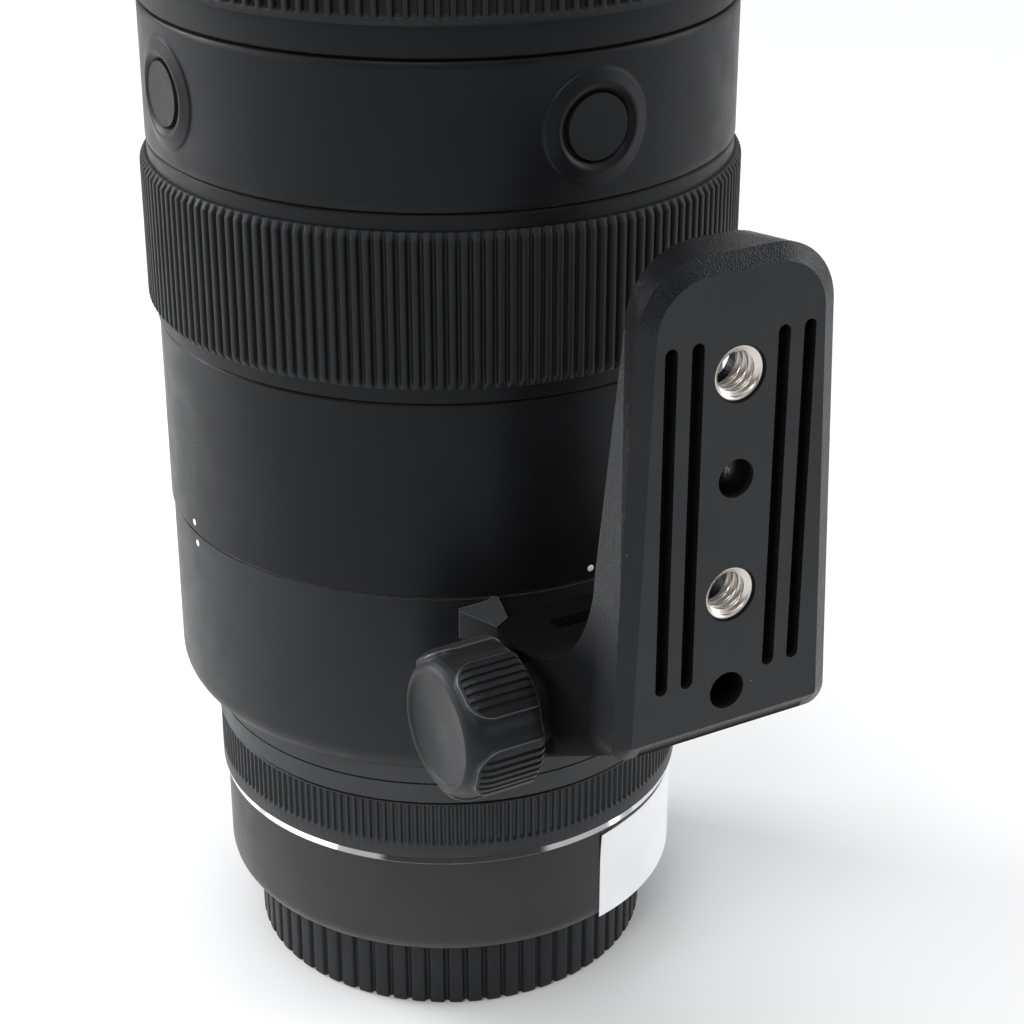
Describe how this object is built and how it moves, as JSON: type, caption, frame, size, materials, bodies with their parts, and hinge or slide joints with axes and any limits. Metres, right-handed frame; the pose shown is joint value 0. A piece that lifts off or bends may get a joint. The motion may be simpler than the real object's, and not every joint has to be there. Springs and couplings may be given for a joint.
{
  "type": "camera zoom lens",
  "caption": "Telephoto zoom lens standing on its rear cap, with ribbed zoom, focus and control rings, push buttons, and a turning tripod collar whose L-shaped foot has a lock knob.",
  "frame": {"origin": "centre of the rear cap's flat underside, on the optical axis", "axes": "+Z along the optical axis from the rear cap to the front glass, -Y towards the tripod foot"},
  "size_m": [0.089, 0.1198, 0.232],
  "materials": {
    "body_paint": "satin black paint over magnesium and aluminium",
    "rear_paint": "satin black paint, slightly brown",
    "grip_rubber": "moulded black rubber",
    "foot_paint": "coarse blasted black finish",
    "polished_trim": "polished silver",
    "mount_metal": "turned steel",
    "cap_plastic": "matt black plastic",
    "inner_black": "flat black",
    "inner_metal": "dark anodised aluminium",
    "brass": "turned brass",
    "lens_glass": "coated optical glass",
    "display_glass": "gloss black window"
  },
  "bodies": {
    "barrel": {"lens_mount": "mount_metal", "mount_screws": "mount_metal", "mount_gasket": "grip_rubber", "contact_block": "cap_plastic", "rear_baffle": "inner_black", "rear_barrel": "rear_paint", "trim_ring": "polished_trim", "rear_tube": "body_paint", "rear_cell": "inner_black", "rear_element": "lens_glass", "main_tube": "inner_metal", "body_shell": "body_paint", "display_window": "display_glass", "switch_plate": "cap_plastic", "button_band": "body_paint", "guide_barrel": "inner_metal", "mid_plate": "inner_metal", "iris_unit": "inner_black", "stabiliser_unit": "inner_black", "focus_rods": "mount_metal", "focus_motor": "inner_black", "front_barrel": "body_paint", "filter_ring": "body_paint", "front_cell": "inner_black", "front_element": "lens_glass", "front_ring": "body_paint"},
    "zoom_ring": {"zoom_ring": "body_paint", "zoom_grip": "grip_rubber", "zoom_key": "brass", "cam_barrel": "inner_metal"},
    "variator": {"variator_cell": "inner_black", "variator_lens": "lens_glass", "variator_pins": "brass"},
    "compensator": {"compensator_cell": "inner_black", "compensator_lens": "lens_glass", "compensator_pins": "brass"},
    "focus_ring": {"focus_ring": "body_paint", "focus_grip": "grip_rubber"},
    "focus_group": {"focus_cell": "inner_black", "focus_lens": "lens_glass"},
    "control_ring": {"control_ring": "body_paint"},
    "collar": {"tripod_collar": "body_paint", "foot": "foot_paint", "socket_inserts": "mount_metal"},
    "lock_knob": {"lock_knob": "foot_paint", "knob_cap": "foot_paint", "knob_screw": "mount_metal"},
    "fn_button_1": {"fn_button_1": "cap_plastic"},
    "fn_button_2": {"fn_button_2": "cap_plastic"},
    "fn_button_3": {"fn_button_3": "cap_plastic"},
    "fn_button_4": {"fn_button_4": "cap_plastic"},
    "display_button": {"display_button": "cap_plastic"},
    "side_button": {"side_button": "cap_plastic"},
    "focus_switch": {"focus_switch": "cap_plastic"},
    "limit_switch": {"limit_switch": "cap_plastic"},
    "rear_cap": {"rear_cap": "cap_plastic"}
  },
  "joints": [
    {"name": "zoom_turn", "type": "hinge", "parent": "barrel", "child": "zoom_ring", "pos_m": [0, 0, 0], "axis": [0, 0, 1], "range_deg": [0, 80]},
    {"name": "variator_slide", "type": "slide", "parent": "barrel", "child": "variator", "axis": [0, 0, 1], "range_m": [0, 0.028]},
    {"name": "compensator_slide", "type": "slide", "parent": "barrel", "child": "compensator", "axis": [0, 0, 1], "range_m": [0, 0.01]},
    {"name": "focus_turn", "type": "hinge", "parent": "barrel", "child": "focus_ring", "pos_m": [0, 0, 0], "axis": [0, 0, 1], "continuous": true},
    {"name": "focus_slide", "type": "slide", "parent": "barrel", "child": "focus_group", "axis": [0, 0, 1], "range_m": [0, 0.012]},
    {"name": "control_turn", "type": "hinge", "parent": "barrel", "child": "control_ring", "pos_m": [0, 0, 0], "axis": [0, 0, 1], "continuous": true},
    {"name": "collar_turn", "type": "hinge", "parent": "barrel", "child": "collar", "pos_m": [0, 0, 0], "axis": [0, 0, 1], "continuous": true},
    {"name": "knob_turn", "type": "hinge", "parent": "collar", "child": "lock_knob", "pos_m": [-0.0189, -0.0523, 0.0669], "axis": [1, 0, 0], "range_deg": [0, 540]},
    {"name": "fn_button_1_press", "type": "slide", "parent": "barrel", "child": "fn_button_1", "axis": [0, 1, 0], "range_m": [0, 0.0006], "stiffness_N_per_m": 1500, "springref_m": -0.0004},
    {"name": "fn_button_2_press", "type": "slide", "parent": "barrel", "child": "fn_button_2", "axis": [-1, 0, 0], "range_m": [0, 0.0006], "stiffness_N_per_m": 1500, "springref_m": -0.0004},
    {"name": "fn_button_3_press", "type": "slide", "parent": "barrel", "child": "fn_button_3", "axis": [0, -1, 0], "range_m": [0, 0.0006], "stiffness_N_per_m": 1500, "springref_m": -0.0004},
    {"name": "fn_button_4_press", "type": "slide", "parent": "barrel", "child": "fn_button_4", "axis": [1, 0, 0], "range_m": [0, 0.0006], "stiffness_N_per_m": 1500, "springref_m": -0.0004},
    {"name": "display_button_press", "type": "slide", "parent": "barrel", "child": "display_button", "axis": [0.5592, -0.829, 0], "range_m": [0, 0.0006], "stiffness_N_per_m": 1500, "springref_m": -0.0004},
    {"name": "side_button_press", "type": "slide", "parent": "barrel", "child": "side_button", "axis": [-0.7071, -0.7071, 0], "range_m": [0, 0.0006], "stiffness_N_per_m": 1500, "springref_m": -0.0004},
    {"name": "focus_switch_slide", "type": "slide", "parent": "barrel", "child": "focus_switch", "axis": [0, 0, 1], "range_m": [0, 0.004]},
    {"name": "limit_switch_slide", "type": "slide", "parent": "barrel", "child": "limit_switch", "axis": [0, 0, 1], "range_m": [0, 0.004]},
    {"name": "cap_twist", "type": "hinge", "parent": "barrel", "child": "rear_cap", "pos_m": [0, 0, 0], "axis": [0, 0, 1], "range_deg": [0, 45]}
  ],
  "couplings": [
    {"joint": "variator_slide", "follows": "zoom_turn", "m_per_rad": 0.02005},
    {"joint": "compensator_slide", "follows": "zoom_turn", "m_per_rad": 0.00716}
  ]
}
